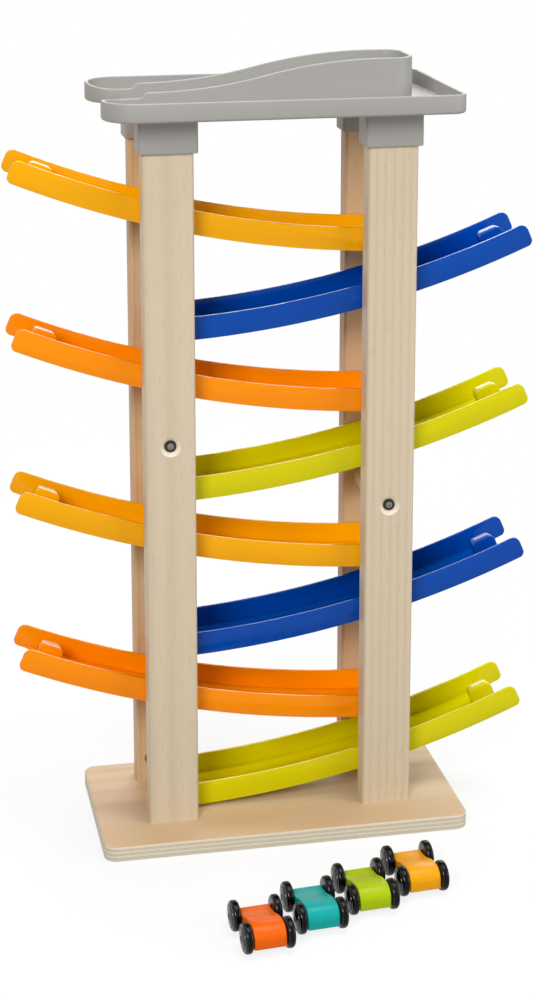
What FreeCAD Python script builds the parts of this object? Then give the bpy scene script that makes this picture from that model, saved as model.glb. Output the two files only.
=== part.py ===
import FreeCAD, Part

import math
import os
import re

import Sketcher

# A wooden toy car ramp: a tower of four posts on a base board, eight curved tracks between the posts,
# a launch tray on top and four roller cars on the floor in front.
# The origin is the centre of the base board's underside, +Z up, with the tracks running along X.
# The tracks slope down to +X and to -X in turn, numbered from the top.

SIZES = {
    # Base board
    "base_length": 240,
    "base_depth": 120,
    "base_thickness": 10,
    "base_corner_radius": 8,
    "base_edge_radius": 1,
    # Tower: four posts around the line of tracks, which lies behind the board's centre
    "tower_setback": 7,
    "post_spacing": 142,
    "post_width": 32,
    "post_thickness": 16,
    "post_head": 40.8,
    "post_edge_radius": 2,
    # Tracks
    "track_width": 45,
    "track_side_gap": 0.5,
    "track_pitch": 52.9,
    "track_clearance": 0.8,
    "rail_height": 15,
    "rail_thickness": 2.2,
    "track_floor": 2.5,
    "track_radius": 640,
    "track_low_offset": 91,
    "track_reach": 163,
    "track_low_reach": 77,
    "tip_top_radius": 5,
    "tip_under_radius": 4,
    "fork_depth": 9,
    "fork_radius": 8,
    "stop_setback": 11,
    "stop_length": 15,
    "stop_width": 9,
    "stop_radius": 4,
    "peg_diameter": 6,
    "peg_length": 6,
    "peg_clearance": 0.1,
    "peg_end_gap": 0.5,
    # Cross ties: a dowel between a front and a back post, clamped by a bolt and a sleeve nut
    "tie_rise_left": 43.4,
    "tie_rise_right": 48.3,
    "dowel_diameter": 18,
    "bolt_diameter": 4,
    "bolt_clearance": 0.2,
    "bolt_head_diameter": 7,
    "bolt_head_height": 4,
    "bolt_socket_width": 3,
    "bolt_socket_depth": 2.4,
    "bolt_end_gap": 2,
    "head_clearance": 0.3,
    "head_recess": 1.6,
    "countersink_diameter": 12.8,
    "nut_diameter": 6,
    "nut_length": 12,
    "nut_head_diameter": 9,
    "nut_head_height": 2,
    "nut_socket_width": 4,
    "nut_socket_depth": 3,
    "nut_recess": 0.8,
    "thread_clearance": 0.05,
    # A spare blind hole low in the back left post
    "spare_hole_diameter": 10,
    "spare_hole_depth": 6,
    "spare_hole_height": 26.4,
    "spare_hole_offset": 5.7,
    # Wood screws through the base board, two to a post
    "screw_diameter": 4,
    "screw_head_diameter": 8,
    "screw_head_rim": 0.5,
    "screw_length": 30,
    "screw_point": 4,
    "screw_recess": 0.4,
    "screw_spacing": 16,
    "screw_clearance": 0.05,
    "drive_width": 1.2,
    "drive_length": 4.4,
    "drive_depth": 2,
    # Launch tray
    "tray_length": 224,
    "tray_depth": 126,
    "tray_rim_height": 12,
    "tray_floor": 2.5,
    "tray_wall": 2.2,
    "tray_corner_radius": 9,
    "tray_under_radius": 2,
    "ramp_width": 45,
    "ramp_length": 180,
    "ramp_wall": 2.2,
    "ramp_end_radius": 14,
    "ramp_floor": 2.5,
    "ramp_lip_height": 9.5,
    "ramp_lip_length": 6,
    "ramp_low_wall_height": 13,
    "ramp_step_length": 3,
    "ramp_curve_start": 12,
    "ramp_curve_length": 145,
    "ramp_top_height": 30.5,
    "ramp_floor_rise": 16,
    "ramp_hollow_start": 52,
    "socket_clearance": 0.2,
    "socket_wall": 2.3,
    "socket_height": 22.5,
    "socket_radius": 2,
    # Roller cars, standing in a slanted row on the floor
    "car_row_x": -40.5,
    "car_row_y": -168.5,
    "car_step_x": 35.7,
    "car_step_y": 15.9,
    "car_yaw": 5,
    "car_width": 20,
    "car_wheelbase": 27,
    "car_nose_overhang": 5.5,
    "car_tail_overhang": 7.5,
    "car_underside": 4.2,
    "car_hood_height": 11.8,
    "car_roof_height": 17,
    "car_roof_length": 9,
    "car_roof_radius": 8,
    "car_nose_radius": 2.5,
    "car_belly_radius": 1.2,
    "wheel_diameter": 18.5,
    "wheel_width": 6,
    "wheel_dome": 1,
    "wheel_shoulder": 1.8,
    "wheel_hub_diameter": 6,
    "wheel_hub_height": 0.25,
    "wheel_gap": 0.25,
    "wheel_bore_depth": 4,
    "axle_diameter": 2,
    "axle_clearance": 0.07,
    "axle_seat_clearance": 0.01,
    "axle_end_gap": 0.2,
}

TRACK_COUNT = 8
CAR_COLOURS = ("orange", "teal", "lime", "amber")

# Lengths and places that follow from the sizes, as expressions
POST_ROW = "(track_width / 2 + track_side_gap + post_thickness / 2)"
POST_HALF = "(post_thickness / 2)"
CHANNEL_WIDTH = "(track_width - 2 * rail_thickness)"
POST_LENGTH = "(%d * track_pitch + post_head)" % TRACK_COUNT
TOWER_TOP = "(base_thickness + %s)" % POST_LENGTH
TIE_HEIGHT = {"left": "(base_thickness + 4 * track_pitch + tie_rise_left)",
              "right": "(base_thickness + 3 * track_pitch + tie_rise_right)"}
HEAD_SEAT = "(head_recess + bolt_head_height)"
NUT_SEAT = "(nut_recess + nut_head_height)"
TIE_LENGTH = "(track_width + 2 * track_side_gap)"
RAMP_CHANNEL = "(ramp_width - 2 * ramp_wall)"
LOBE_RADIUS = "((tray_depth - %s) / 4)" % RAMP_CHANNEL
RAMP_START = "(-tray_length / 2 + %s)" % LOBE_RADIUS
RAMP_END = "(%s + ramp_length)" % RAMP_START
CAR_NEAR = "(-car_wheelbase / 2 - car_tail_overhang)"
CAR_FAR = "(car_wheelbase / 2 + car_nose_overhang)"
WHEEL_PLANE = "(car_width / 2 + wheel_gap + wheel_hub_height + wheel_width / 2)"

X_AXIS = FreeCAD.Vector(1, 0, 0)
Y_AXIS = FreeCAD.Vector(0, 1, 0)
Z_AXIS = FreeCAD.Vector(0, 0, 1)

doc = FreeCAD.newDocument("toy_car_ramp")
sheet = doc.addObject("Spreadsheet::Sheet", "sizes")
for row, (alias, size) in enumerate(SIZES.items(), start=1):
    sheet.set("A%d" % row, alias)
    sheet.set("B%d" % row, str(size))
    sheet.setAlias("B%d" % row, alias)
doc.recompute()


def formula(text):
    """Point each size named in an expression at its cell in the sheet."""
    def cell(word):
        return "sizes." + word.group() if word.group() in SIZES else word.group()
    return re.sub(r"[a-z]\w*", cell, str(text))


def value(text):
    """What an expression comes to with the present sizes."""
    result = sheet.evalExpression(formula(text))
    return float(getattr(result, "Value", result))


def point(corner):
    return FreeCAD.Vector(value(corner[0]), value(corner[1]), 0)


# Bodies and their features

def new_body(label):
    body = doc.addObject("PartDesign::Body", label)
    body.Label = label
    return body


def place(body, x="0", y="0", z="0", turn="0"):
    """Put a body at a point of the frame, turned about the vertical by so many degrees."""
    body.Placement = FreeCAD.Placement(FreeCAD.Vector(), FreeCAD.Rotation(Z_AXIS, 1))
    body.setExpression("Placement.Base.x", formula(x))
    body.setExpression("Placement.Base.y", formula(y))
    body.setExpression("Placement.Base.z", formula(z))
    body.setExpression("Placement.Rotation.Angle", formula(turn))


def origin_feature(body, role):
    return next(feature for feature in body.Origin.OriginFeatures if feature.Role == role)


def new_sketch(body, name, plane, offset="0"):
    """A sketch on one of the body's origin planes, moved along that plane's normal."""
    sketch = body.newObject("Sketcher::SketchObject", name)
    sketch.AttachmentSupport = [(origin_feature(body, plane), "")]
    sketch.MapMode = "FlatFace"
    if offset != "0":
        sketch.setExpression("AttachmentOffset.Base.z", formula(offset))
    return sketch


def bind(sketch, kind, *arguments):
    """Add a dimension whose last argument is the expression that it follows."""
    text = arguments[-1]
    constraint = sketch.addConstraint(Sketcher.Constraint(kind, *arguments[:-1], value(text)))
    sketch.setExpression("Constraints[%d]" % constraint, formula(text))


def fix_point(sketch, geometry, position, corner):
    bind(sketch, "DistanceX", -1, 1, geometry, position, corner[0])
    bind(sketch, "DistanceY", -1, 1, geometry, position, corner[1])


def draw_circle(sketch, centre, diameter):
    circle = Part.Circle(point(centre), Z_AXIS, value(diameter) / 2)
    geometry = sketch.addGeometry(circle, False)
    bind(sketch, "Diameter", geometry, diameter)
    fix_point(sketch, geometry, 3, centre)


def arc_between(start, end, radius, turn):
    """The shorter arc from start to end, with its centre to the left (turn 1) or right (turn -1)."""
    chord = end - start
    height = math.sqrt(max(radius ** 2 - (chord.Length / 2) ** 2, 0))
    across = FreeCAD.Vector(-chord.y, chord.x, 0).normalize()
    centre = (start + end) / 2 + across * height * turn
    first, last = (start, end) if turn > 0 else (end, start)
    from_angle = math.atan2(first.y - centre.y, first.x - centre.x)
    to_angle = math.atan2(last.y - centre.y, last.x - centre.x)
    return Part.ArcOfCircle(Part.Circle(centre, Z_AXIS, radius), from_angle, to_angle)


def draw_outline(sketch, corners, arcs=None):
    """Close a chain of corners. Side number n, from corner n to the next, is an arc where arcs holds
    its radius and turn, and is otherwise straight."""
    arcs = arcs or {}
    sides = []
    for number, corner in enumerate(corners):
        start = point(corner)
        end = point(corners[(number + 1) % len(corners)])
        if number in arcs:
            radius, turn = arcs[number]
            geometry = sketch.addGeometry(arc_between(start, end, value(radius), turn), False)
            sides.append((geometry, 1, 2) if turn > 0 else (geometry, 2, 1))
        else:
            geometry = sketch.addGeometry(Part.LineSegment(start, end), False)
            sides.append((geometry, 1, 2))
    for number, (geometry, start, end) in enumerate(sides):
        following = sides[(number + 1) % len(sides)]
        sketch.addConstraint(Sketcher.Constraint("Coincident", geometry, end, following[0], following[1]))
        fix_point(sketch, geometry, start, corners[number])
        if number in arcs:
            bind(sketch, "Radius", geometry, arcs[number][0])


def draw_rectangle(sketch, low, high):
    draw_outline(sketch, [low, (high[0], low[1]), high, (low[0], high[1])])


def draw_rounded_rectangle(sketch, half_length, half_width, radius, centre=("0", "0")):
    """A rectangle about a centre with four round corners."""
    corners = []
    for x, y, swap in ((1, -1, 1), (1, 1, 0), (-1, 1, 1), (-1, -1, 0)):
        near = ("%s + %d * (%s - %s)" % (centre[0], x, half_length, radius),
                "%s + %d * %s" % (centre[1], y, half_width))
        far = ("%s + %d * %s" % (centre[0], x, half_length),
               "%s + %d * (%s - %s)" % (centre[1], y, half_width, radius))
        corners += [near, far] if swap else [far, near]
    draw_outline(sketch, corners, {number: (radius, 1) for number in (0, 2, 4, 6)})


def pad(body, sketch, length, both_ways=False, reverse=False):
    feature = body.newObject("PartDesign::Pad", sketch.Name + "_pad")
    feature.Profile = sketch
    feature.SideType = "Symmetric" if both_ways else "One side"
    feature.Reversed = reverse
    feature.setExpression("Length", formula(length))
    return feature


def pocket(body, sketch, depth=None, both_ways=False, reverse=False):
    """Cut a sketch out of the body to a depth, or through all of it where no depth is given."""
    feature = body.newObject("PartDesign::Pocket", sketch.Name + "_pocket")
    feature.Profile = sketch
    feature.SideType = "Symmetric" if both_ways else "One side"
    feature.Reversed = reverse
    if depth is None:
        feature.Type = "ThroughAll"
    else:
        feature.setExpression("Length", formula(depth))
    return feature


def revolve(body, sketch, axis):
    feature = body.newObject("PartDesign::Revolution", sketch.Name + "_revolution")
    feature.Profile = sketch
    feature.ReferenceAxis = (origin_feature(body, axis), [""])
    feature.Angle = 360
    return feature


def repeat(body, features, axis, spacing, count):
    """Repeat features along one of the body's axes."""
    pattern = body.newObject("PartDesign::LinearPattern", features[0].Name + "_row")
    pattern.Originals = features
    pattern.Direction = (origin_feature(body, axis), [""])
    pattern.Occurrences = count
    pattern.setExpression("Length", formula("(%s) * %d" % (spacing, count - 1)))
    body.Tip = pattern
    return pattern


def dress_edges(body, kind, name, size, chosen):
    """Fillet or chamfer the edges of the body so far that the given test picks."""
    doc.recompute()
    base = body.Tip
    edges = ["Edge%d" % number for number, edge in enumerate(base.Shape.Edges, start=1) if chosen(edge)]
    if not edges:
        raise RuntimeError("%s finds no edge on %s" % (name, body.Label))
    feature = body.newObject("PartDesign::" + kind, name)
    feature.Base = (base, edges)
    feature.setExpression("Radius" if kind == "Fillet" else "Size", formula(size))
    return feature


def runs_along(edge, axis):
    """Whether an edge is a straight one along an axis."""
    if not isinstance(edge.Curve, Part.Line):
        return False
    return abs(abs(edge.tangentAt(edge.FirstParameter) * axis) - 1) < 1e-6


def is_arc(edge, radius):
    """Whether an edge is part of a circle of a given radius."""
    return isinstance(edge.Curve, Part.Circle) and abs(edge.Curve.Radius - radius) < 1e-4


def is_near(edge, x=None, y=None, z=None):
    """Whether an edge's box centre lies at the given coordinates, as far as they are given."""
    centre = edge.BoundBox.Center
    wanted = ((centre.x, x), (centre.y, y), (centre.z, z))
    return all(goal is None or abs(found - goal) < 0.05 for found, goal in wanted)


def is_flat_at(edge, z):
    """Whether the whole edge lies at one height."""
    return abs(edge.BoundBox.ZMin - z) < 0.01 and abs(edge.BoundBox.ZMax - z) < 0.01


# The tracks' common curve: rail tops and floors are arcs about one centre above the low end

def track_corner(x, depth):
    """The point on the radius through x on the rail's top that lies so deep below that top."""
    run = "((%s - track_low_offset) / track_radius)" % x
    reach = "(track_radius + %s)" % depth
    return ("track_low_offset + %s * %s" % (reach, run),
            "track_radius - %s * sqrt(1 - %s ^ 2)" % (reach, run))


def draw_track_band(sketch, start, end, top, bottom):
    """The part of the curved side view between two places and two depths below the rails' top."""
    places = ((start, top), (end, top), (end, bottom), (start, bottom))
    corners = [track_corner(along, depth) for along, depth in places]
    radii = ["(track_radius + %s)" % depth for depth in (top, bottom)]
    draw_outline(sketch, corners, {0: (radii[0], 1), 2: (radii[1], -1)})


def peg_height(x):
    """Height of the middle of the rails above their lowest point, at a place along the track."""
    return "(track_radius - sqrt((track_radius + rail_height / 2) ^ 2 - (%s - track_low_offset) ^ 2))" % x


def track_height(number):
    """Height of the lowest point of a track's rails above the floor that the toy stands on."""
    steps_up = TRACK_COUNT - number
    return "(base_thickness + track_clearance + rail_height + %d * track_pitch)" % steps_up


def make_track(number):
    """A U-channel with a forked tip at its high end, a stop fin behind the fork and four pegs."""
    body = new_body("track_%d" % number)
    side = new_sketch(body, "side", "XZ_Plane")
    draw_track_band(side, "(-track_reach)", "track_low_reach", "0", "rail_height")
    pad(body, side, "track_width", both_ways=True)

    for name, depth in (("tip_top", "0"), ("tip_under", "rail_height")):
        corner = point(track_corner("(-track_reach)", depth))
        dress_edges(body, "Fillet", name, name + "_radius",
                    lambda edge: runs_along(edge, Y_AXIS) and is_near(edge, x=corner.x, z=corner.y))

    pegs = new_sketch(body, "pegs", "XZ_Plane")
    for x in ("(-post_spacing / 2)", "(post_spacing / 2)"):
        draw_circle(pegs, (x, peg_height(x)), "peg_diameter")
    pad(body, pegs, "track_width + 2 * peg_length", both_ways=True)

    channel = new_sketch(body, "channel", "XZ_Plane")
    draw_track_band(channel, "(-track_reach - rail_height)", "(track_low_reach + rail_height)",
                    "(-rail_height)", "(rail_height - track_floor)")
    pocket(body, channel, CHANNEL_WIDTH, both_ways=True)

    fork = new_sketch(body, "fork", "XY_Plane")
    root = "(-track_reach + fork_depth)"
    round_start = "(-track_reach + fork_depth - fork_radius)"
    side_line = "(%s / 2)" % CHANNEL_WIDTH
    round_line = "(%s / 2 - fork_radius)" % CHANNEL_WIDTH
    outside = "(-track_reach - rail_height)"
    draw_outline(fork, [(outside, "-" + side_line), (round_start, "-" + side_line), (root, "-" + round_line),
                        (root, round_line), (round_start, side_line), (outside, side_line)],
                 {1: ("fork_radius", 1), 3: ("fork_radius", 1)})
    pocket(body, fork, reverse=True)

    stop = new_sketch(body, "stop", "XZ_Plane")
    stop_start = "(-track_reach + stop_setback)"
    stop_end = "(-track_reach + stop_setback + stop_length)"
    draw_track_band(stop, stop_start, stop_end, "0", "(rail_height - track_floor / 2)")
    pad(body, stop, "stop_width", both_ways=True)
    for name, along in (("stop_front", stop_start), ("stop_rear", stop_end)):
        corner = point(track_corner(along, "0"))
        dress_edges(body, "Fillet", name, "stop_radius",
                    lambda edge: runs_along(edge, Y_AXIS) and is_near(edge, x=corner.x, y=0, z=corner.y))

    turn = "0" if number % 2 else "180"
    place(body, y="tower_setback", z=track_height(number), turn=turn)


# The wooden tower

def make_base_board():
    body = new_body("base_board")
    outline = new_sketch(body, "outline", "XY_Plane")
    draw_rounded_rectangle(outline, "base_length / 2", "base_depth / 2", "base_corner_radius")
    pad(body, outline, "base_thickness")
    thickness = value("base_thickness")
    dress_edges(body, "Fillet", "soft_edges", "base_edge_radius",
                lambda edge: is_flat_at(edge, 0) or is_flat_at(edge, thickness))

    shanks = new_sketch(body, "screw_holes", "XY_Plane")
    for x in ("-post_spacing / 2", "post_spacing / 2"):
        for side in (-1, 1):
            for row in (-1, 1):
                centre = ("%s + %d * screw_spacing / 2" % (x, side),
                          "tower_setback + %d * %s" % (row, POST_ROW))
                draw_circle(shanks, centre, "screw_diameter + 2 * screw_clearance")
    pocket(body, shanks, reverse=True)
    bore = value("screw_diameter / 2 + screw_clearance")
    dress_edges(body, "Chamfer", "countersinks",
                "screw_recess + screw_head_rim + (screw_head_diameter - screw_diameter) / 2",
                lambda edge: is_flat_at(edge, 0) and is_arc(edge, bore))
    place(body)


def make_post(row, side):
    """An upright slat. Its inner face, towards the tracks, has the blind holes for the tracks' pegs."""
    facing = 1 if row == "front" else -1
    across = -1 if side == "left" else 1
    body = new_body("post_%s_%s" % (row, side))
    section = new_sketch(body, "section", "XY_Plane")
    draw_rectangle(section, ("-post_width / 2", "-" + POST_HALF), ("post_width / 2", POST_HALF))
    pad(body, section, POST_LENGTH)
    dress_edges(body, "Fillet", "soft_edges", "post_edge_radius", lambda edge: runs_along(edge, Z_AXIS))

    inner_face = "%d * %s" % (-facing, POST_HALF)
    outer_face = "%d * %s" % (facing, POST_HALF)
    for name, first in (("odd_pegs", TRACK_COUNT - 1), ("even_pegs", TRACK_COUNT)):
        holes = new_sketch(body, name, "XZ_Plane", inner_face)
        along = across if first % 2 else -across
        peg = peg_height("(%d * post_spacing / 2)" % along)
        height = "%s + %s - base_thickness" % (track_height(first), peg)
        draw_circle(holes, ("0", height), "peg_diameter + 2 * peg_clearance")
        depth = "peg_length - track_side_gap + peg_end_gap"
        cut = pocket(body, holes, depth, reverse=facing > 0)
        repeat(body, [cut], "Z_Axis", "2 * track_pitch", TRACK_COUNT // 2)

    tie = ("0", TIE_HEIGHT[side] + " - base_thickness")
    bore = new_sketch(body, "tie_bore", "XZ_Plane")
    passing = "bolt_diameter" if row == "front" else "nut_diameter"
    draw_circle(bore, tie, passing + " + 2 * bolt_clearance")
    pocket(body, bore, "2 * post_thickness", both_ways=True)
    seat = new_sketch(body, "tie_seat", "XZ_Plane", outer_face)
    if row == "front":
        draw_circle(seat, tie, "bolt_head_diameter + 2 * head_clearance")
        pocket(body, seat, HEAD_SEAT)
        head_bore = value("bolt_head_diameter / 2 + head_clearance")
        outer = -value(POST_HALF)
        dress_edges(body, "Chamfer", "countersink",
                    "countersink_diameter / 2 - bolt_head_diameter / 2 - head_clearance",
                    lambda edge: is_near(edge, y=outer) and is_arc(edge, head_bore))
    else:
        draw_circle(seat, tie, "nut_head_diameter + 2 * head_clearance")
        pocket(body, seat, NUT_SEAT, reverse=True)

    pilots = new_sketch(body, "screw_pilots", "XY_Plane")
    for end in (-1, 1):
        draw_circle(pilots, ("%d * screw_spacing / 2" % end, "0"), "screw_diameter + 2 * screw_clearance")
    pocket(body, pilots, "screw_recess + screw_length - base_thickness + screw_clearance", reverse=True)

    if row == "back" and side == "left":
        spare = new_sketch(body, "spare_hole", "XZ_Plane", inner_face)
        centre = ("-spare_hole_offset", "spare_hole_height - base_thickness")
        draw_circle(spare, centre, "spare_hole_diameter")
        pocket(body, spare, "spare_hole_depth")

    place(body, x="%d * post_spacing / 2" % across, y="tower_setback - %d * %s" % (facing, POST_ROW),
          z="base_thickness")


def draw_hexagon(sketch, width):
    """A regular hexagon, given by the distance between two opposite sides."""
    corners = []
    for angle in range(0, 360, 60):
        corners.append(("%s / sqrt(3) * cos(%d)" % (width, angle), "%s / sqrt(3) * sin(%d)" % (width, angle)))
    draw_outline(sketch, corners)


def make_cross_tie(side):
    """A dowel between two posts, the bolt through it and the sleeve nut that the bolt screws into.
    It sits between two tracks, so its height follows their pitch."""
    x = "%d * post_spacing / 2" % (-1 if side == "left" else 1)
    height = TIE_HEIGHT[side]

    dowel = new_body("spacer_dowel_%s" % side)
    ring = new_sketch(dowel, "ring", "XZ_Plane")
    draw_circle(ring, ("0", "0"), "dowel_diameter")
    draw_circle(ring, ("0", "0"), "bolt_diameter + 2 * bolt_clearance")
    pad(dowel, ring, TIE_LENGTH, both_ways=True)
    place(dowel, x, "tower_setback", height)

    bolt = new_body("cross_bolt_%s" % side)
    shank = new_sketch(bolt, "shank", "XZ_Plane")
    draw_circle(shank, ("0", "0"), "bolt_diameter")
    pad(bolt, shank, "2 * post_thickness + %s - %s - %s - bolt_end_gap" % (TIE_LENGTH, HEAD_SEAT, NUT_SEAT),
        reverse=True)
    head = new_sketch(bolt, "head", "XZ_Plane")
    draw_circle(head, ("0", "0"), "bolt_head_diameter")
    pad(bolt, head, "bolt_head_height")
    socket = new_sketch(bolt, "socket", "XZ_Plane", "bolt_head_height")
    draw_hexagon(socket, "bolt_socket_width")
    pocket(bolt, socket, "bolt_socket_depth")
    place(bolt, x, "tower_setback - %s - %s + %s" % (POST_ROW, POST_HALF, HEAD_SEAT), height)

    nut = new_body("sleeve_nut_%s" % side)
    barrel = new_sketch(nut, "barrel", "XZ_Plane")
    draw_circle(barrel, ("0", "0"), "nut_diameter")
    pad(nut, barrel, "nut_length")
    collar = new_sketch(nut, "collar", "XZ_Plane")
    draw_circle(collar, ("0", "0"), "nut_head_diameter")
    pad(nut, collar, "nut_head_height", reverse=True)
    thread = new_sketch(nut, "thread", "XZ_Plane", "nut_length")
    draw_circle(thread, ("0", "0"), "bolt_diameter + 2 * thread_clearance")
    pocket(nut, thread, "nut_length")
    drive = new_sketch(nut, "drive", "XZ_Plane", "-nut_head_height")
    draw_hexagon(drive, "nut_socket_width")
    pocket(nut, drive, "nut_socket_depth", reverse=True)
    place(nut, x, "tower_setback + %s + %s - %s" % (POST_ROW, POST_HALF, NUT_SEAT), height)


def make_base_screws(row, side):
    """The two countersunk wood screws from under the base board into one post."""
    body = new_body("base_screws_%s_%s" % (row, side))
    half = new_sketch(body, "half", "XZ_Plane")
    head_radius = "(screw_head_diameter / 2)"
    radius = "(screw_diameter / 2)"
    neck = "(screw_recess + screw_head_rim + %s - %s)" % (head_radius, radius)
    tip = "(screw_recess + screw_length)"
    draw_outline(half, [("0", "screw_recess"), (head_radius, "screw_recess"),
                        (head_radius, "screw_recess + screw_head_rim"), (radius, neck),
                        (radius, "%s - screw_point" % tip), ("0", tip)])
    screw = revolve(body, half, "Z_Axis")
    drive = new_sketch(body, "drive", "XY_Plane")
    arm, web = "(drive_length / 2)", "(drive_width / 2)"
    draw_outline(drive, [(web, web), (web, arm), ("-" + web, arm), ("-" + web, web), ("-" + arm, web),
                         ("-" + arm, "-" + web), ("-" + web, "-" + web), ("-" + web, "-" + arm),
                         (web, "-" + arm), (web, "-" + web), (arm, "-" + web), (arm, web)])
    recess = pocket(body, drive, "screw_recess + drive_depth", reverse=True)
    repeat(body, [screw, recess], "X_Axis", "screw_spacing", 2)
    across = -1 if side == "left" else 1
    facing = -1 if row == "front" else 1
    place(body, x="%d * post_spacing / 2 - screw_spacing / 2" % across,
          y="tower_setback + %d * %s" % (facing, POST_ROW))


# The launch tray

def draw_tray_outline(sketch, inset):
    """The tray's plan: round corners on the right, and two half-round lobes on the left with the
    ramp's exit recessed between them. The inset moves every side inwards."""
    half = "(tray_depth / 2 - %s)" % inset
    right = "(tray_length / 2 - %s)" % inset
    corner = "(tray_corner_radius - %s)" % inset
    lobe = "(%s - %s)" % (LOBE_RADIUS, inset)
    left = "(-tray_length / 2 + %s)" % inset
    centre = "((tray_depth + %s) / 4)" % RAMP_CHANNEL
    inner = "(%s / 2 + %s)" % (RAMP_CHANNEL, inset)
    corners = [(RAMP_START, "-" + half), ("%s - %s" % (right, corner), "-" + half),
               (right, "-(%s - %s)" % (half, corner)), (right, "%s - %s" % (half, corner)),
               ("%s - %s" % (right, corner), half), (RAMP_START, half), (left, centre), (RAMP_START, inner),
               (RAMP_START, "-" + inner), (left, "-" + centre)]
    draw_outline(sketch, corners, {1: (corner, 1), 3: (corner, 1), 5: (lobe, 1), 6: (lobe, 1),
                                   8: (lobe, 1), 9: (lobe, 1)})


def draw_rim_slopes(sketch):
    """What comes off the rims between the lobes: each falls from the middle of its lobe to the height
    of the ramp's lip."""
    foot, lip = "(ramp_width / 2)", "ramp_lip_height"
    crest, rim = "((tray_depth + %s) / 4)" % RAMP_CHANNEL, "tray_rim_height"
    above = "(tray_rim_height + tray_wall)"
    draw_outline(sketch, [("-" + foot, lip), (foot, lip), (crest, rim), (crest, above),
                          ("-" + crest, above), ("-" + crest, rim)])


def draw_ramp_curve(sketch, ends, low, high, base, lip=None):
    """A side view of the ramp: level, then an S-curve of two tangent arcs up to the flat top, closed
    by a base line. A lip is a lower stretch at the exit, up a short slope to the first level."""
    start, middle, end = ["(%s + ramp_curve_start + %s)" % (RAMP_START, along)
                          for along in ("0", "ramp_curve_length / 2", "ramp_curve_length")]
    corners = [(ends[0], base), (ends[1], base), (ends[1], high), (end, high),
               (middle, "(%s + %s) / 2" % (low, high)), (start, low)]
    if lip:
        corners += [("%s + ramp_lip_length + ramp_step_length" % RAMP_START, low),
                    ("%s + ramp_lip_length" % RAMP_START, lip), (ends[0], lip)]
    else:
        corners += [(ends[0], low)]
    radius = ramp_bend(low, high)
    draw_outline(sketch, corners, {3: (radius, 1), 4: (radius, -1)})


def ramp_bend(low, high):
    """Radius of the two tangent arcs that lead from one level to the other over the curve's length."""
    rise = "(%s - %s)" % (high, low)
    return "((ramp_curve_length ^ 2 + %s ^ 2) / (4 * %s))" % (rise, rise)


def draw_ramp_hollow(sketch):
    """The space under the ramp's floor, one floor's thickness below its upper side. It starts some way
    up the first arc, where a mould's core still has some height."""
    high = "ramp_floor_rise"
    radius = ramp_bend("0", high)
    curve_start = "(%s + ramp_curve_start)" % RAMP_START
    start = "(%s + ramp_hollow_start)" % RAMP_START
    end = "(%s - ramp_wall)" % RAMP_END
    base = "-tray_floor"
    start_height = "(%s - sqrt(%s ^ 2 - (%s - %s) ^ 2))" % (radius, radius, start, curve_start)
    corners = [(start, base), (end, base), (end, high), ("%s + ramp_curve_length" % curve_start, high),
               ("%s + ramp_curve_length / 2" % curve_start, "%s / 2" % high), (start, start_height)]
    draw_outline(sketch, corners, {3: (radius, 1), 4: (radius, -1)})


def make_top_tray():
    """One moulding: parking lanes with a rim, the walled launch ramp, and four sockets over the posts."""
    body = new_body("top_tray")
    outline = new_sketch(body, "outline", "XY_Plane")
    draw_tray_outline(outline, "0")
    pad(body, outline, "tray_rim_height")
    dress_edges(body, "Fillet", "under_edge", "tray_under_radius", lambda edge: is_flat_at(edge, 0))
    lanes = new_sketch(body, "lanes", "XY_Plane", "tray_rim_height")
    draw_tray_outline(lanes, "tray_wall")
    pocket(body, lanes, "tray_rim_height - tray_floor")
    slopes = new_sketch(body, "rim_slopes", "YZ_Plane", "%s + ramp_lip_length" % RAMP_START)
    draw_rim_slopes(slopes)
    pocket(body, slopes, "%s + ramp_lip_length" % LOBE_RADIUS)

    walls = new_sketch(body, "ramp_walls", "XZ_Plane")
    draw_ramp_curve(walls, (RAMP_START, RAMP_END), "ramp_low_wall_height", "ramp_top_height",
                    "tray_floor / 2", lip="ramp_lip_height")
    pad(body, walls, "ramp_width", both_ways=True)

    channel = new_sketch(body, "ramp_channel", "XZ_Plane")
    draw_ramp_curve(channel, ("(%s - tray_wall)" % RAMP_START, "(%s - ramp_wall)" % RAMP_END),
                    "ramp_floor", "(ramp_floor + ramp_floor_rise)", "(ramp_top_height + ramp_floor)")
    pocket(body, channel, RAMP_CHANNEL, both_ways=True)
    round_ramp_end(body, "channel_end", "(%s - ramp_wall)" % RAMP_END, "(%s / 2)" % RAMP_CHANNEL,
                   "ramp_end_radius - ramp_wall")

    hollow = new_sketch(body, "ramp_hollow", "XZ_Plane")
    draw_ramp_hollow(hollow)
    pocket(body, hollow, RAMP_CHANNEL, both_ways=True)
    round_ramp_end(body, "hollow_end", "(%s - ramp_wall)" % RAMP_END, "(%s / 2)" % RAMP_CHANNEL,
                   "ramp_end_radius - ramp_wall", below="tray_floor")
    round_ramp_end(body, "ramp_end", RAMP_END, "(ramp_width / 2)", "ramp_end_radius")

    sockets = new_sketch(body, "sockets", "XY_Plane")
    for across in (-1, 1):
        for row in (-1, 1):
            centre = ("%d * post_spacing / 2" % across, "%d * %s" % (row, POST_ROW))
            half_x = "(post_width / 2 + socket_clearance)"
            half_y = "(post_thickness / 2 + socket_clearance)"
            draw_rounded_rectangle(sockets, "(%s + socket_wall)" % half_x, "(%s + socket_wall)" % half_y,
                                   "socket_radius", centre)
            draw_rectangle(sockets, ("%s - %s" % (centre[0], half_x), "%s - %s" % (centre[1], half_y)),
                           ("%s + %s" % (centre[0], half_x), "%s + %s" % (centre[1], half_y)))
    pad(body, sockets, "socket_height", reverse=True)
    place(body, y="tower_setback", z=TOWER_TOP)


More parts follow.
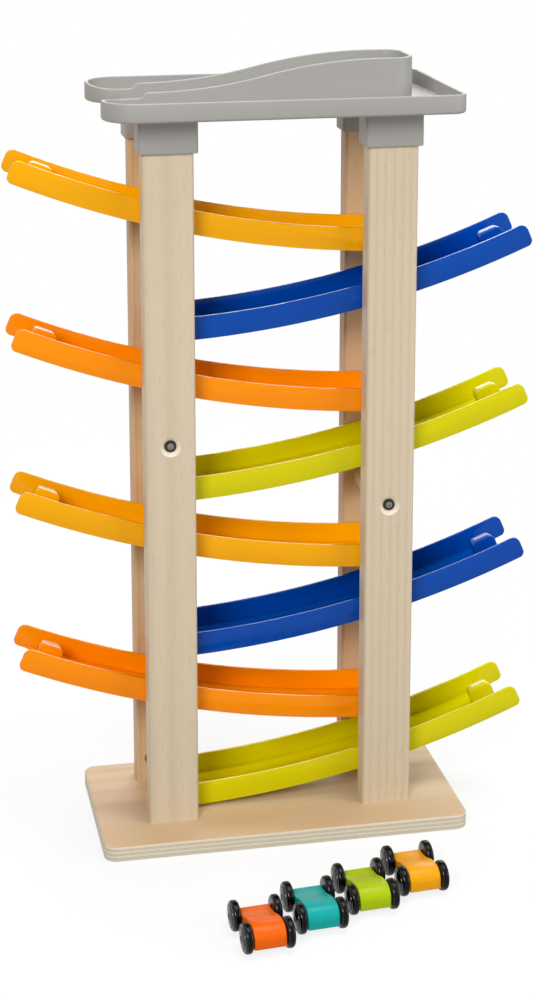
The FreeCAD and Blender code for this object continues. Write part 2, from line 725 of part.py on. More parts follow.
def round_ramp_end(body, name, end, half_width, radius, below=None):
    """Round the upright corners at the ramp's closed end, or only those that start below a height."""
    x, y = value(end), value(half_width)
    limit = value(below) if below else math.inf
    dress_edges(body, "Fillet", name, radius,
                lambda edge: runs_along(edge, Z_AXIS) and is_near(edge, x=x)
                and abs(abs(edge.BoundBox.Center.y) - y) < 0.01 and edge.BoundBox.ZMin < limit)


# The roller cars

def make_car(colour, number):
    """One car: its body, two axles and four wheels, standing in its place in the slanted row."""
    def place_on_car(body, x, y, z, turn="0"):
        place(body,
              "car_row_x + %d * car_step_x + (%s) * cos(car_yaw) - (%s) * sin(car_yaw)" % (number, x, y),
              "car_row_y + %d * car_step_y + (%s) * sin(car_yaw) + (%s) * cos(car_yaw)" % (number, x, y),
              z, "car_yaw + %s" % turn)

    shell = new_body("car_%s_body" % colour)
    side = new_sketch(shell, "side", "YZ_Plane")
    curve_start = "(%s + car_roof_length)" % CAR_NEAR
    curve_middle = "((%s + car_roof_length + car_wheelbase / 2) / 2)" % CAR_NEAR
    curve_end = "(car_wheelbase / 2)"
    drop = "(car_roof_height - car_hood_height)"
    run = "(%s - %s)" % (curve_end, curve_start)
    bend = "((%s ^ 2 + %s ^ 2) / (4 * %s))" % (run, drop, drop)
    draw_outline(side, [(CAR_NEAR, "car_underside"), (CAR_FAR, "car_underside"), (CAR_FAR, "car_hood_height"),
                        (curve_end, "car_hood_height"),
                        (curve_middle, "(car_hood_height + car_roof_height) / 2"),
                        (curve_start, "car_roof_height"), (CAR_NEAR, "car_roof_height")],
                 {3: (bend, -1), 4: (bend, 1)})
    pad(shell, side, "car_width", both_ways=True)
    near, far = value(CAR_NEAR), value(CAR_FAR)
    roof, hood, belly = value("car_roof_height"), value("car_hood_height"), value("car_underside")
    dress_edges(shell, "Fillet", "roof_round", "car_roof_radius",
                lambda edge: runs_along(edge, X_AXIS) and is_near(edge, y=near, z=roof))
    dress_edges(shell, "Fillet", "nose_round", "car_nose_radius",
                lambda edge: runs_along(edge, X_AXIS) and is_near(edge, y=far, z=hood))
    dress_edges(shell, "Fillet", "belly_round", "car_belly_radius",
                lambda edge: runs_along(edge, X_AXIS) and is_near(edge, z=belly))
    bores = new_sketch(shell, "axle_bores", "YZ_Plane")
    for end in (-1, 1):
        centre = ("%d * car_wheelbase / 2" % end, "wheel_diameter / 2")
        draw_circle(bores, centre, "axle_diameter + 2 * axle_clearance")
    pocket(shell, bores, "2 * car_width", both_ways=True)
    place_on_car(shell, "0", "0", "0")

    for end, along in (("tail", -1), ("nose", 1)):
        y = "%d * car_wheelbase / 2" % along
        axle = new_body("car_%s_%s_axle" % (colour, end))
        rod = new_sketch(axle, "rod", "YZ_Plane")
        draw_circle(rod, ("0", "0"), "axle_diameter")
        pad(axle, rod, "2 * (car_width / 2 + wheel_gap + wheel_bore_depth - axle_end_gap)", both_ways=True)
        place_on_car(axle, "0", y, "wheel_diameter / 2")
        for side_name, across in (("left", -1), ("right", 1)):
            wheel = new_body("car_%s_%s_%s_wheel" % (colour, end, side_name))
            draw_wheel(wheel)
            place_on_car(wheel, "%d * %s" % (across, WHEEL_PLANE), y, "wheel_diameter / 2",
                         "0" if across > 0 else "180")


def draw_wheel(body):
    """A wheel about the X axis, with its domed face outwards (+X) and a hub with a blind bore inwards."""
    half = new_sketch(body, "half", "XY_Plane")
    radius = "(wheel_diameter / 2)"
    inner = "(-wheel_width / 2)"
    outer = "(wheel_width / 2)"
    rim = "(%s - wheel_dome)" % outer
    bore = "(axle_diameter / 2 + axle_seat_clearance)"
    hub = "(%s - wheel_hub_height)" % inner
    bore_end = "(%s + wheel_bore_depth)" % hub
    face_radius = "(%s - wheel_shoulder)" % radius
    dome_radius = "((%s ^ 2 + wheel_dome ^ 2) / (2 * wheel_dome))" % face_radius
    hub_radius = "wheel_hub_diameter / 2"
    corners = [(bore_end, "0"), (outer, "0"), (rim, face_radius), ("%s - wheel_shoulder" % rim, radius),
               ("%s + wheel_shoulder" % inner, radius), (inner, face_radius), (inner, hub_radius),
               (hub, hub_radius), (hub, bore), (bore_end, bore)]
    draw_outline(half, corners, {1: (dome_radius, 1), 2: ("wheel_shoulder", 1), 4: ("wheel_shoulder", 1)})
    revolve(body, half, "X_Axis")


make_base_board()
for row in ("front", "back"):
    for side in ("left", "right"):
        make_post(row, side)
        make_base_screws(row, side)
for number in range(1, TRACK_COUNT + 1):
    make_track(number)
for side in ("left", "right"):
    make_cross_tie(side)
make_top_tray()
for number, colour in enumerate(CAR_COLOURS):
    make_car(colour, number)
doc.recompute()

# Every object must have computed, and every cut must have removed something, before anything is written
bodies = [thing for thing in doc.Objects if thing.TypeId == "PartDesign::Body"]
for thing in doc.Objects:
    if "Invalid" in thing.State or "Error" in thing.State:
        raise RuntimeError("%s (%s) didn't compute: %s" % (thing.Label, thing.Name, thing.State))
for body in bodies:
    if body.Shape.isNull() or not body.Shape.isValid():
        raise RuntimeError("%s has no valid shape" % body.Label)
    for feature in body.Group:
        if feature.TypeId == "PartDesign::Pocket":
            removed = feature.BaseFeature.Shape.Volume - feature.Shape.Volume
            if removed < 0.01:
                raise RuntimeError("%s on %s cuts nothing" % (feature.Name, body.Label))

os.makedirs("parts", exist_ok=True)
for body in bodies:
    body.Shape.exportStep(os.path.join("parts", body.Label + ".step"))
print("%d parts written" % len(bodies))
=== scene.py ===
# %% [markdown]
# # A wooden toy car ramp
#
# A toy tower for a child: a plywood base, four beech posts, eight curved plastic tracks that slope left and
# right in turn, a grey launch tray on top, and four small roller cars beside it. Its CAD model gives each
# piece its size and place. This lesson dresses that model: it rounds the moulded edges, makes the wheels and
# gives every surface the look of its real material.

# %% The CAD model
import math
import bpy
from mathutils import Matrix, Vector


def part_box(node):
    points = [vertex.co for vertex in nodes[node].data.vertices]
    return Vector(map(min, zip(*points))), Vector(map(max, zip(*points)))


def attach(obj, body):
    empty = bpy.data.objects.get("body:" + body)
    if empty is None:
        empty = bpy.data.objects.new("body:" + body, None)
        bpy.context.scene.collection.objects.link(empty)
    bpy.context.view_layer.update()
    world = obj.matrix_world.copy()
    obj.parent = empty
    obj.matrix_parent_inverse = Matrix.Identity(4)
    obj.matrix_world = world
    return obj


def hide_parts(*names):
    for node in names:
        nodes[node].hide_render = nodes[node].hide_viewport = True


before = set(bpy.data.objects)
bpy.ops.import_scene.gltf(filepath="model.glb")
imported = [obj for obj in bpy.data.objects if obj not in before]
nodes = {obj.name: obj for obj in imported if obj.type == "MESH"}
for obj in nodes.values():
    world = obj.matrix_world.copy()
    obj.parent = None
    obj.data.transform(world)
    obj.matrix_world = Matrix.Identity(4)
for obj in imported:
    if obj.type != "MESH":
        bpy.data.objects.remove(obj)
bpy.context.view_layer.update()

# %% [markdown]
# ## Camera
#
# The photograph was taken with a long lens, a little to the left of the tower and from above the tray. The
# camera's place and its turn come from matching the corners of the base, the posts, the track tips and the
# tray. The tower stands almost upright in the picture, as a shifted lens draws it, so the camera looks down
# less than its height asks for, and a small shift brings the tower back into the picture. The lens is just
# short enough to show the tips of all the tracks.

# %% Camera
PICTURE_HEIGHT = 1000
FOCAL_PIXELS = 2180
SENSOR_MM = 36.0
SHIFT = -0.24
EYE = Vector((-0.2692, -1.3257, 0.6789))
TURN = math.radians(11.345)
DOWN = math.radians(12.65)

lens = bpy.data.cameras.new("camera")
lens.sensor_width = SENSOR_MM
lens.lens = FOCAL_PIXELS * SENSOR_MM / PICTURE_HEIGHT
lens.shift_y = SHIFT
camera = bpy.data.objects.new("camera", lens)
bpy.context.scene.collection.objects.link(camera)
look = Vector((math.sin(TURN) * math.cos(DOWN), math.cos(TURN) * math.cos(DOWN), -math.sin(DOWN)))
camera.location = EYE
camera.rotation_euler = look.to_track_quat("-Z", "Y").to_euler()
bpy.context.scene.camera = camera
print("focal length %.1f mm" % lens.lens)

# %% [markdown]
# ## Nodes and colours
#
# Every finish below is a small tree of shader nodes. One helper adds a node, sets it and joins it to the
# nodes before it. Colours are written as the hex values that a picture editor shows, and one function turns
# them into the linear numbers that Blender works with.

# %% Helpers for materials
# Millimetres in a metre
MM = 1000.0
# A Mix node set to colours has its share and its two colours at these inputs, and this output
RGBA = {"data_type": "RGBA"}
SHARE, FIRST, SECOND = 0, 6, 7
MIXED = 2


def linear(hex_colour):
    """A hex colour such as "#D4C3A8" as linear red, green, blue and 1."""
    values = [int(hex_colour[place:place + 2], 16) / 255 for place in (1, 3, 5)]
    return [v / 12.92 if v <= 0.04045 else ((v + 0.055) / 1.055) ** 2.4 for v in values] + [1.0]


def add_node(tree, kind, settings=None, inputs=None, stops=()):
    """Adds a shader node; an input takes a value or another node's output, and a ramp its colour stops."""
    node = tree.nodes.new("ShaderNode" + kind)
    for name, value in (settings or {}).items():
        setattr(node, name, value)
    for name, value in (inputs or {}).items():
        if isinstance(value, bpy.types.NodeSocket):
            tree.links.new(value, node.inputs[name])
        else:
            node.inputs[name].default_value = value
    for place, (position, colour) in enumerate(stops):
        elements = node.color_ramp.elements
        stop = elements[place] if place < len(elements) else elements.new(position)
        stop.position = position
        stop.color = colour
    return node


def new_material(name):
    """An empty material with a Principled shader: the material, its tree and the shader."""
    material = bpy.data.materials.new(name)
    material.use_nodes = True
    return material, material.node_tree, material.node_tree.nodes["Principled BSDF"]


print("amber #F8B000 in linear numbers:", [round(value, 3) for value in linear("#F8B000")])

# %% [markdown]
# ## Floor and background
#
# The toy stands on a white studio floor that runs up into a white background. The floor is a plain plane.
# Its diffuse surface takes the toy's shadow, and a part of pure white that only the camera and the
# reflections see lifts it to the white of the photograph. Further away only the white is left, so no
# horizon shows. The light that the floor throws back on the toy is that of a grey table, which keeps the
# shaded wood deep in colour.

# %% What is seen directly
def seen_directly(tree):
    """1 for rays from the camera, from reflections and through clear things, 0 for light on the object."""
    path = add_node(tree, "LightPath").outputs
    seen = add_node(tree, "Math", {"operation": "MAXIMUM"},
                    {0: path["Is Camera Ray"], 1: path["Is Glossy Ray"]})
    return add_node(tree, "Math", {"operation": "MAXIMUM"},
                    {0: seen.outputs[0], 1: path["Is Transmission Ray"]}).outputs[0]


print("a test for what the camera and the reflections see")

# %% Floor
FLOOR_SIZE = 12.0
FLOOR_GAP = 0.0002
# Between these two distances from the middle, in metres, the share of pure white grows to the whole
SHADOW_ENDS = (0.25, 0.9)
WHITE_NEAR_TOY = 0.82
# The floor's colour as it is seen, and as it throws light back on the toy
FLOOR_SEEN = "#F4F4F4"
FLOOR_THROWN = "#A8A6A2"

bpy.ops.object.select_all(action="DESELECT")
bpy.ops.mesh.primitive_plane_add(size=FLOOR_SIZE, location=(0, 0, -FLOOR_GAP))
floor = bpy.context.object
floor.name = "studio_floor"
studio_white, tree, shader = new_material("matt_white_floor")
tree.nodes.remove(shader)
place = add_node(tree, "TexCoord").outputs["Object"]
distance = add_node(tree, "VectorMath", {"operation": "LENGTH"}, {0: place})
white_share = add_node(tree, "MapRange", {},
                       {"Value": distance.outputs["Value"], "From Min": SHADOW_ENDS[0],
                        "From Max": SHADOW_ENDS[1], "To Min": WHITE_NEAR_TOY, "To Max": 1.0})
seen = seen_directly(tree)
white_share = add_node(tree, "Math", {"operation": "MULTIPLY"}, {0: white_share.outputs["Result"], 1: seen})
paper = add_node(tree, "Mix", RGBA, {SHARE: seen, FIRST: linear(FLOOR_THROWN), SECOND: linear(FLOOR_SEEN)})
matt = add_node(tree, "BsdfDiffuse", {}, {"Color": paper.outputs[MIXED]})
glow = add_node(tree, "Emission", {}, {"Color": (1, 1, 1, 1), "Strength": 1.0})
surface = add_node(tree, "MixShader", {}, {0: white_share.outputs[0], 1: matt.outputs[0], 2: glow.outputs[0]})
tree.links.new(surface.outputs[0], tree.nodes["Material Output"].inputs["Surface"])
floor.data.materials.append(studio_white)
print("floor at z = %.4f m" % floor.location.z)

# %% [markdown]
# ## Light
#
# The photograph has large soft lights: a strong and long one above, one from the left in front, a weaker
# one from the right, and one behind that draws the bright lines along the tops of the rails. The world adds
# a little even light from all sides. Together they light a surface so that its colour renders about as
# written.

# %% Lamps
TOWER_MIDDLE = (0, 0, 0.25)
# Each lamp has a place, a target, a width and a height in metres, and a power in watts
SOFTBOXES = {"key_softbox": ((-1.1, -1.9, 1.5), TOWER_MIDDLE, 0.9, 0.9, 38),
             "fill_softbox": ((1.7, -1.2, 0.9), TOWER_MIDDLE, 1.2, 1.2, 14),
             "top_softbox": ((0.35, 0.15, 2.8), (0.05, 0, 0.3), 2.4, 1.1, 54),
             "back_softbox": ((0.5, 2.2, 1.1), TOWER_MIDDLE, 1.6, 0.8, 16)}

for name, (place, target, width, height, power) in SOFTBOXES.items():
    lamp = bpy.data.lights.new(name, "AREA")
    lamp.shape = "RECTANGLE"
    lamp.size = width
    lamp.size_y = height
    lamp.energy = power
    holder = bpy.data.objects.new(name, lamp)
    bpy.context.scene.collection.objects.link(holder)
    holder.location = place
    holder.rotation_euler = (Vector(target) - Vector(place)).to_track_quat("-Z", "Y").to_euler()
    holder.visible_camera = False
print("lamps:", ", ".join(SOFTBOXES))

# %% World
EVEN_LIGHT = 0.24

world = bpy.data.worlds.new("white_studio")
bpy.context.scene.world = world
world.use_nodes = True
tree = world.node_tree
even = add_node(tree, "Background", {}, {"Color": (1, 1, 1, 1), "Strength": EVEN_LIGHT})
white = add_node(tree, "Background", {}, {"Color": (1, 1, 1, 1), "Strength": 1.0})
around = add_node(tree, "MixShader", {}, {0: seen_directly(tree), 1: even.outputs[0], 2: white.outputs[0]})
tree.links.new(around.outputs[0], tree.nodes["World Output"].inputs["Surface"])
bpy.context.scene.view_settings.view_transform = "Standard"
print("even light:", EVEN_LIGHT, "and a background of pure white")

# %% [markdown]
# ## Wood
#
# Posts and dowels are solid beech, planed, sanded and covered with a clear satin lacquer. Beech has a fine
# and even grain: faint growth rings 2 to 4 mm apart, very fine pores along the grain, and small dark flecks
# where the wood rays come to the surface. The same figure serves every wooden piece. Its pattern is
# stretched along the grain, and the rings lie around a pith outside the piece, as in a sawn board.

# %% Wood figure
# Units of each pattern to a metre along the grain; across the grain there is one to a millimetre
RING_UNITS, PORE_UNITS, FLECK_UNITS = 60.0, 18.0, 160.0
# Real pores are under 0.1 mm wide; to show they are drawn about 1.1 mm wide and 60 mm long
PORES_PER_MM = 0.9
# Ray flecks lie about 2.4 mm apart across the grain and 15 mm apart along it; each is about 1 mm wide
FLECKS_PER_MM = 0.42
# A wave texture repeats every 0.314 units at scale 1
WAVE_LENGTH = 0.314
RING_TONES = [(0.0, (0, 0, 0, 1)), (0.55, (0.25, 0.25, 0.25, 1)), (1.0, (1, 1, 1, 1))]


def grain_place(tree, along, units, shift=(0.0, 0.0, 0.0)):
    """A piece's own coordinates, stretched along the grain and shifted by so many millimetres."""
    scale = [MM] * 3
    scale["XYZ".index(along)] = units
    place = add_node(tree, "TexCoord").outputs["Object"]
    return add_node(tree, "Mapping", {}, {"Vector": place, "Location": shift, "Scale": scale}).outputs[0]


def rings_and_pores(tree, along, pith, ring):
    """Growth rings and pores, each from 0 to 1, for grain along X, Y or Z; pith and ring in millimetres."""
    rings = add_node(tree, "TexWave", {"wave_type": "RINGS", "rings_direction": along},
                     {"Vector": grain_place(tree, along, RING_UNITS, pith), "Scale": WAVE_LENGTH / ring,
                      "Distortion": 5.0, "Detail": 3.0, "Detail Scale": 0.12, "Detail Roughness": 0.6})
    rings = add_node(tree, "ValToRGB", {}, {"Fac": rings.outputs["Fac"]}, RING_TONES)
    pores = add_node(tree, "TexNoise", {}, {"Vector": grain_place(tree, along, PORE_UNITS),
                                            "Scale": PORES_PER_MM, "Detail": 4.0, "Roughness": 0.65})
    return rings.outputs[0], pores.outputs["Fac"]


def ray_flecks(tree, along):
    """The dashes where wood rays come to the surface, from 0 to 1."""
    flecks = add_node(tree, "TexVoronoi", {}, {"Vector": grain_place(tree, along, FLECK_UNITS),
                                               "Scale": FLECKS_PER_MM})
    return add_node(tree, "MapRange", {}, {"Value": flecks.outputs["Distance"],
                                           "From Min": 0.30, "From Max": 0.12}).outputs["Result"]


print("a pore is drawn %.1f mm wide and %.0f mm long" % (1 / PORES_PER_MM, MM / PORE_UNITS / PORES_PER_MM))

# %% [markdown]
# ## Around the bolts
#
# The black bolts sink into the front posts. The wood is lighter in a ring within 6.5 mm of each bolt's
# middle line, and the steel in the middle of a bolt's head is painted lighter: a painted reflection. Both are
# round marks on the middle line of a bolt, which lies along Y, so one helper finds them for the wood and the
# steel.

# %% Marks around the bolts
BOLTS = ("cross_bolt_left", "cross_bolt_right")


def near_bolts(tree, radius):
    """1 within a radius, in millimetres, of the middle line of a bolt, and 0 outside it."""
    place = add_node(tree, "TexCoord").outputs["Object"]
    nearest = None
    for node in BOLTS:
        low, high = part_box(node)
        flat = add_node(tree, "VectorMath", {"operation": "MULTIPLY"}, {0: place, 1: (1.0, 0.0, 1.0)})
        middle = ((low.x + high.x) / 2, 0.0, (low.z + high.z) / 2)
        away = add_node(tree, "VectorMath", {"operation": "DISTANCE"}, {0: flat.outputs[0], 1: middle})
        away = away.outputs["Value"]
        if nearest:
            away = add_node(tree, "Math", {"operation": "MINIMUM"}, {0: nearest, 1: away}).outputs[0]
        nearest = away
    return add_node(tree, "Math", {"operation": "LESS_THAN"}, {0: nearest, 1: radius / MM}).outputs[0]


print("marks around", " and ".join(BOLTS))

# %% [markdown]
# ## Lacquered beech
#
# The lacquer is thin and satin. It gives broad soft reflections and lets the pores show as a slight relief.
# Early wood is a little lighter than late wood, and the pores are darker than both. The back posts get a
# darker
# and warmer copy of the beech: painted shade and painted warm light thrown back from the coloured tracks,
# where they stand behind the front posts and the tracks. The dowels lie across the tower along Y.

# %% Lacquered beech
COUNTERSINK_MM = 6.5
BOLT_RING_WOOD = "#EEE0CB"
RAY_FLECK = "#A98459"
FLECK_STRENGTH = 0.14
BEECH_RING_MM = 3.2


def lacquer(tree, shader, colour, pores, smoothest, roughest):
    """A clear satin lacquer on a colour: its roughness and a slight relief follow the pores."""
    tree.links.new(colour, shader.inputs["Base Color"])
    gloss = add_node(tree, "MapRange", {}, {"Value": pores, "To Min": smoothest, "To Max": roughest})
    tree.links.new(gloss.outputs["Result"], shader.inputs["Roughness"])
    relief = add_node(tree, "Bump", {}, {"Strength": 0.35, "Distance": 0.00012, "Height": pores})
    tree.links.new(relief.outputs[0], shader.inputs["Normal"])
    shader.inputs["Specular IOR Level"].default_value = 0.4


def lacquered_beech(name, along, pith, early, late, pore):
    """Solid beech under a clear satin lacquer; where a countersink is cut for a bolt, the wood is lighter."""
    material, tree, shader = new_material(name)
    rings, pores = rings_and_pores(tree, along, pith, BEECH_RING_MM)
    wood = add_node(tree, "Mix", RGBA, {SHARE: rings, FIRST: linear(early), SECOND: linear(late)})
    streak = add_node(tree, "MapRange", {},
                      {"Value": pores, "From Min": 0.25, "From Max": 0.75, "To Max": 0.35})
    wood = add_node(tree, "Mix", RGBA,
                    {SHARE: streak.outputs["Result"], FIRST: wood.outputs[MIXED], SECOND: linear(pore)})
    fleck = add_node(tree, "Math", {"operation": "MULTIPLY"}, {0: ray_flecks(tree, along), 1: FLECK_STRENGTH})
    wood = add_node(tree, "Mix", RGBA,
                    {SHARE: fleck.outputs[0], FIRST: wood.outputs[MIXED], SECOND: linear(RAY_FLECK)})
    # The wood is lighter within COUNTERSINK_MM of a bolt's middle line.
    bolt_ring = near_bolts(tree, COUNTERSINK_MM)
    wood = add_node(tree, "Mix", RGBA, {SHARE: bolt_ring, FIRST: wood.outputs[MIXED], SECOND: linear(BOLT_RING_WOOD)})
    lacquer(tree, shader, wood.outputs[MIXED], pores, smoothest=0.42, roughest=0.58)
    shader.inputs["IOR"].default_value = 1.5
    return material


pale_beech = lacquered_beech("lacquered_pale_beech", "Z", pith=(38.0, -120.0, 0.0),
                             early="#D6C6AC", late="#CFBEA2", pore="#C8B69A")
# A darker, warmer copy for the back posts: painted shade and painted warm light thrown back by the tracks.
beech_with_painted_shade = lacquered_beech("lacquered_beech_painted_shade", "Z", pith=(-52.0, 150.0, 0.0),
                             early="#D3B48C", late="#CAA87C", pore="#BF9C70")
dowel_beech = lacquered_beech("lacquered_beech_dowel", "Y", pith=(20.0, 0.0, -300.0),
                              early="#D6C0A0", late="#CEB693", pore="#C4AA86")
print("beech:", pale_beech.name, beech_with_painted_shade.name, dowel_beech.name)

# %% [markdown]
# ## Birch plywood
#
# The base is birch plywood, 10 mm thick: seven veneers of about 1.4 mm, each with its grain across the next.
# Its flat faces show one veneer with the grain along the board, and its edge shows the plies as stripes,
# light where the grain runs along the edge and darker where the fibres end in it, with a thin and darker
# glue line between them. The surface's own direction tells the faces and the edge apart.

# %% Plies on the edge
# Two plies of 1.43 mm make one pair of stripes, in metres; the stripes wander up and down over 17 mm
STRIPE_PAIR = 0.00286
PLY_WANDER = 0.0005
WANDER_SCALE = (60.0, 60.0, 60.0)
EDGE_STRIPES = [(0.0, "#C8BB9E"), (0.06, "#F0E6D0"), (0.52, "#ECE1CA"),
                (0.58, "#CABDA1"), (0.66, "#DED3BA"), (0.94, "#DACFB5")]
# The ends of single fibres are too fine to show, so they are drawn as bundles 1.3 mm wide and 3 mm high
FIBRE_SCALE = (1000.0, 1000.0, 400.0)


def ply_stripes(tree, place):
    """The colour of the board's edge: stripes that wander a little in height, with fine ends of fibres."""
    height = add_node(tree, "SeparateXYZ", {}, {0: place})
    wander = add_node(tree, "Mapping", {}, {"Vector": place, "Scale": WANDER_SCALE})
    wander = add_node(tree, "TexNoise", {}, {"Vector": wander.outputs[0], "Scale": 1.0, "Detail": 2.0})
    level = add_node(tree, "Math", {"operation": "MULTIPLY_ADD"},
                     {0: wander.outputs["Fac"], 1: PLY_WANDER, 2: height.outputs["Z"]})
    ply = add_node(tree, "Math", {"operation": "DIVIDE"}, {0: level.outputs[0], 1: STRIPE_PAIR})
    ply = add_node(tree, "Math", {"operation": "FRACT"}, {0: ply.outputs[0]})
    stripes = add_node(tree, "ValToRGB", {}, {"Fac": ply.outputs[0]},
                       [(position, linear(colour)) for position, colour in EDGE_STRIPES])
    fibres = add_node(tree, "Mapping", {}, {"Vector": place, "Scale": FIBRE_SCALE})
    fibres = add_node(tree, "TexNoise", {}, {"Vector": fibres.outputs[0], "Scale": 0.8, "Detail": 3.0})
    edge = add_node(tree, "Mix", {**RGBA, "blend_type": "MULTIPLY"},
                    {SHARE: 0.22, FIRST: stripes.outputs[0], SECOND: fibres.outputs["Fac"]})
    return edge.outputs[MIXED]


print("a ply is %.2f mm thick" % (STRIPE_PAIR / 2 * MM))

# %% Birch plywood
VENEER_RING_MM = 5.5

birch_plywood, tree, shader = new_material("lacquered_birch_plywood")
rings, pores = rings_and_pores(tree, "X", (0.0, 60.0, 240.0), VENEER_RING_MM)
veneer = add_node(tree, "Mix", RGBA, {SHARE: rings, FIRST: linear("#D4BB99"), SECOND: linear("#CEB18B")})
streak = add_node(tree, "MapRange", {}, {"Value": pores, "From Min": 0.25, "From Max": 0.75, "To Max": 0.3})
veneer = add_node(tree, "Mix", RGBA,
                  {SHARE: streak.outputs["Result"], FIRST: veneer.outputs[MIXED], SECOND: linear("#C6A781")})
coordinates = add_node(tree, "TexCoord").outputs
edge = ply_stripes(tree, coordinates["Object"])
flatness = add_node(tree, "SeparateXYZ", {}, {0: coordinates["Normal"]})
flatness = add_node(tree, "Math", {"operation": "ABSOLUTE"}, {0: flatness.outputs["Z"]})
flatness = add_node(tree, "MapRange", {}, {"Value": flatness.outputs[0], "From Min": 0.55, "From Max": 0.75})
wood = add_node(tree, "Mix", RGBA,
                {SHARE: flatness.outputs["Result"], FIRST: edge, SECOND: veneer.outputs[MIXED]})
lacquer(tree, shader, wood.outputs[MIXED], pores, smoothest=0.46, roughest=0.62)
print("base board:", birch_plywood.name)

# %% [markdown]
# ## Moulded plastic
#
# Tracks and tray are injection moulded ABS. The tracks come from a polished mould: glossy, in strong
# colours, with a very slight waviness where the plastic shrank. Toy cars leave fine scuffs along the
# channel. The tray's mould is eroded to a fine satin texture that breaks up the reflections. The wheels are
# of glossy black plastic, and their treads are a little duller from rolling.

# %% Moulded ABS
# In units to a metre: the plastic's colour varies over 110 by 33 mm, and a scuff is 17 mm long and 2.5 mm
# wide, about ten times as coarse as a real one, so that it shows
FLOW_SCALE = (9.0, 30.0, 30.0)
SCUFF_SCALE = (60.0, 400.0, 400.0)


def moulded_abs(name, colour, deep, roughness, specular, texture=0.45, relief_mm=0.02):
    """Injection moulded ABS; texture is the size of the mould's grain and relief its height, in mm."""
    material, tree, shader = new_material(name)
    place = add_node(tree, "TexCoord").outputs["Object"]
    flow = add_node(tree, "Mapping", {}, {"Vector": place, "Scale": FLOW_SCALE})
    flow = add_node(tree, "TexNoise", {}, {"Vector": flow.outputs[0], "Scale": 1.0, "Detail": 2.0})
    tint = add_node(tree, "Mix", RGBA,
                    {SHARE: flow.outputs["Fac"], FIRST: linear(colour), SECOND: linear(deep)})
    tree.links.new(tint.outputs[MIXED], shader.inputs["Base Color"])
    scuffs = add_node(tree, "Mapping", {}, {"Vector": place, "Scale": SCUFF_SCALE})
    scuffs = add_node(tree, "TexNoise", {}, {"Vector": scuffs.outputs[0], "Scale": 1.0, "Detail": 3.0})
    gloss = add_node(tree, "MapRange", {}, {"Value": scuffs.outputs["Fac"], "From Min": 0.3, "From Max": 0.7,
                                            "To Min": roughness - 0.02, "To Max": roughness + 0.04})
    tree.links.new(gloss.outputs["Result"], shader.inputs["Roughness"])
    grain = add_node(tree, "Mapping", {}, {"Vector": place, "Scale": (MM / texture,) * 3})
    grain = add_node(tree, "TexNoise", {}, {"Vector": grain.outputs[0], "Scale": 1.0, "Detail": 2.0})
    relief = add_node(tree, "Bump", {},
                      {"Strength": 0.3, "Distance": relief_mm / MM, "Height": grain.outputs["Fac"]})
    tree.links.new(relief.outputs[0], shader.inputs["Normal"])
    shader.inputs["IOR"].default_value = 1.53
    shader.inputs["Specular IOR Level"].default_value = specular
    return material


print("ABS: the track mould's grain is 0.45 mm and its relief 0.02 mm")

# %% Tracks, tray and wheels
TRACK_COLOURS = {"amber": ("#F8B000", "#F2A600"), "blue": ("#004CAE", "#0042A2"),
                 "orange": ("#FF9800", "#FC8A00"), "lime": ("#DAD200", "#D0C600")}

track_abs = {colour: moulded_abs("gloss_abs_" + colour, light, deep, roughness=0.12, specular=0.14)
             for colour, (light, deep) in TRACK_COLOURS.items()}
tray_abs = moulded_abs("satin_abs_grey", "#A3A19D", "#9B9995", roughness=0.46, specular=0.35,
                       texture=0.35, relief_mm=0.05)
wheel_abs = moulded_abs("gloss_abs_black", "#050505", "#020202", roughness=0.1, specular=0.25,
                        texture=1.2, relief_mm=0.003)
tread_abs = moulded_abs("scuffed_abs_tread", "#060606", "#020202", roughness=0.2, specular=0.12,
                        texture=0.5, relief_mm=0.01)
print("ABS colours:", ", ".join(track_abs), "and grey and black")

# %% [markdown]
# ## Metal
#
# The bolts are black: their oxide skin is dark with a faint sheen, and the steel within 1.9 mm of each bolt's
# middle line is painted lighter, a painted reflection in the socket of the bolt head. Sleeve nuts, screws and
# axles are steel with a thin bright coat of zinc. Both keep fine marks of the tools that made them, so their
# roughness varies.

# %% Steel
# Real tool marks are under 0.1 mm apart; to show they are drawn 0.5 mm apart and 3 mm long
TOOL_MARK_SCALE = (2200.0, 300.0, 2200.0)
ROUGHNESS_SPREAD = 0.08
KEY_SOCKET_MM = 1.9
PAINTED_REFLECTION_STEEL = "#A8A098"


